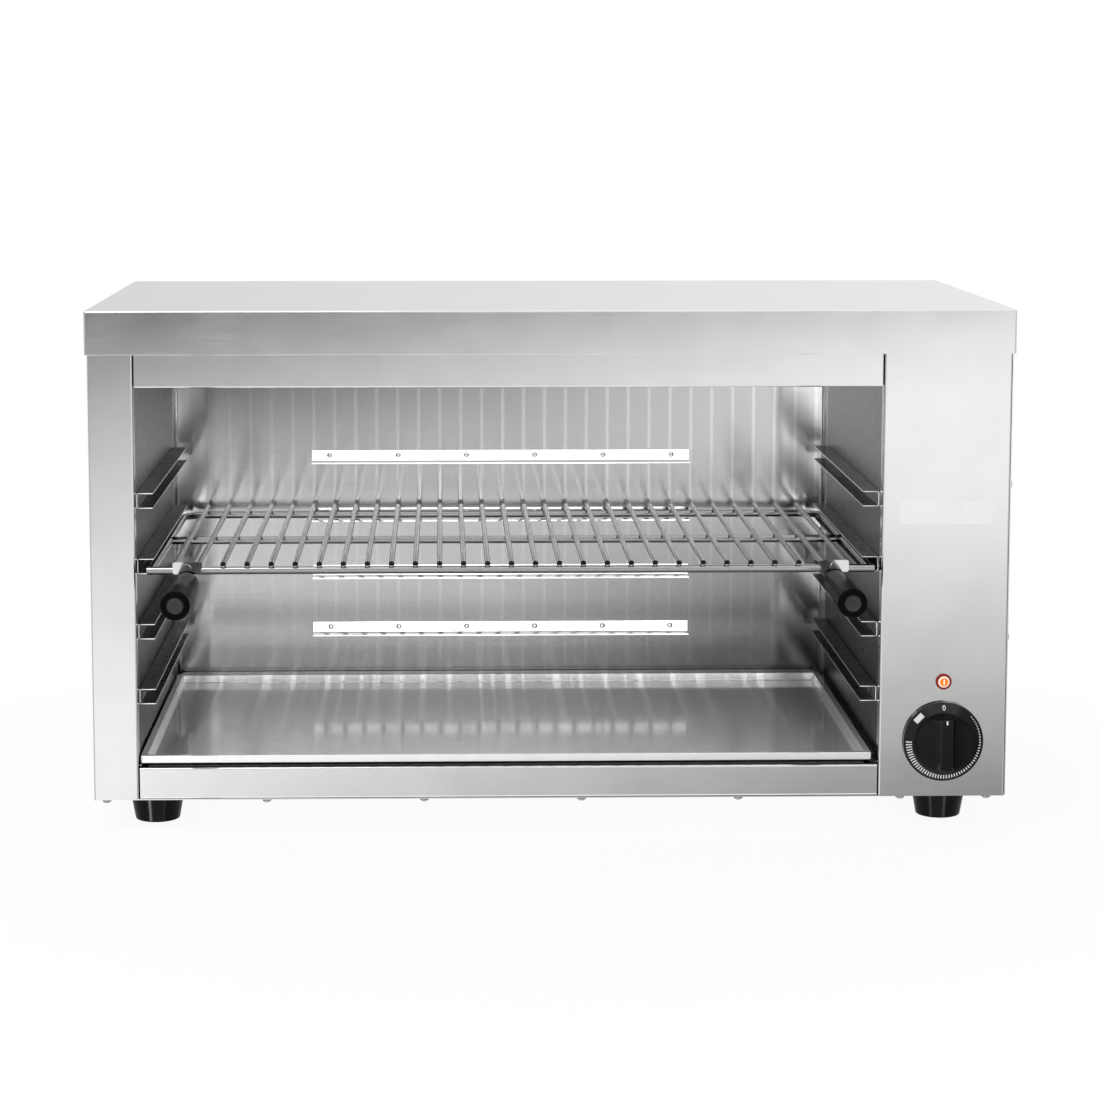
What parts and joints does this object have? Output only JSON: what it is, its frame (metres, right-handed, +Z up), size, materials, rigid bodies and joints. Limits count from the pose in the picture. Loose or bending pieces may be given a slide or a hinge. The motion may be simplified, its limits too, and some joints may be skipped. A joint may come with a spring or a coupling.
{
  "type": "salamander grill",
  "caption": "Countertop electric salamander grill: open-front stainless cabinet with runners, pull-out wire rack, drip tray and one heat knob.",
  "frame": {"origin": "on the surface that it stands on, under the middle of its overall box", "axes": "+X to the right seen from the front, +Y to the back, +Z up"},
  "size_m": [0.8, 0.5134, 0.455],
  "materials": {
    "casing_steel": "fine brushed, grain along the width",
    "liner_steel": "mill finish, dull",
    "runner_steel": "mill finish",
    "tray_steel": "bright",
    "chrome_wire": "bright plated",
    "plated_steel": "zinc plated",
    "black_phenolic": "moulded, semi gloss",
    "foot_rubber": "matt",
    "element_sheath": "heat darkened",
    "lamp_lens": "lit amber",
    "lamp_bezel": "dark red, glossy",
    "regulator_body": "moulded",
    "ceramic": "glazed",
    "gland_plastic": "moulded",
    "insulation": "mineral wool"
  },
  "bodies": {
    "cabinet": {"back_panel": "casing_steel", "back_screws": "plated_steel", "base_plate": "casing_steel", "base_screws": "plated_steel", "cable_gland": "gland_plastic", "cavity_floor": "liner_steel", "control_panel": "casing_steel", "element_bushes": "plated_steel", "element_hanger": "plated_steel", "energy_regulator": "regulator_body", "foot_bolts": "plated_steel", "foot_front_left": "foot_rubber", "foot_front_right": "foot_rubber", "foot_nuts": "plated_steel", "foot_rear_left": "foot_rubber", "foot_rear_right": "foot_rubber", "gland_nut": "gland_plastic", "header_rail": "casing_steel", "heating_element_1": "element_sheath", "heating_element_2": "element_sheath", "heating_element_3": "element_sheath", "ledge_rivets": "plated_steel", "left_casing": "casing_steel", "left_liner": "liner_steel", "pilot_lamp_bezel": "lamp_bezel", "pilot_lamp_clip": "plated_steel", "pilot_lamp_lens": "lamp_lens", "rear_ledge_1": "runner_steel", "rear_ledge_2": "runner_steel", "rear_ledge_3": "runner_steel", "rear_ledge_4": "runner_steel", "rear_liner": "liner_steel", "regulator_nut": "plated_steel", "right_casing": "casing_steel", "right_liner": "liner_steel", "roof_insulation": "insulation", "roof_reflector": "liner_steel", "runner_left_1": "runner_steel", "runner_left_2": "runner_steel", "runner_left_3": "runner_steel", "runner_left_4": "runner_steel", "runner_right_1": "runner_steel", "runner_right_2": "runner_steel", "runner_right_3": "runner_steel", "runner_right_4": "runner_steel", "side_screws": "plated_steel", "terminal_block": "ceramic", "top_cover": "casing_steel"},
    "rack": {"wire_rack": "chrome_wire", "handle_bracket_left": "chrome_wire", "handle_bracket_right": "chrome_wire", "rack_handle_left": "black_phenolic", "rack_handle_right": "black_phenolic", "handle_studs": "plated_steel"},
    "tray": {"drip_tray": "tray_steel"},
    "knob": {"control_knob": "black_phenolic", "regulator_shaft": "plated_steel"}
  },
  "joints": [
    {"name": "rack_slide", "type": "slide", "parent": "cabinet", "child": "rack", "axis": [0, -1, 0], "range_m": [0, 0.36]},
    {"name": "tray_slide", "type": "slide", "parent": "cabinet", "child": "tray", "axis": [0, -1, 0], "range_m": [0, 0.36]},
    {"name": "knob_turn", "type": "hinge", "parent": "cabinet", "child": "knob", "pos_m": [0.34225, -0.16225, 0.0775], "axis": [0, -1, 0], "range_deg": [0, 310]}
  ]
}
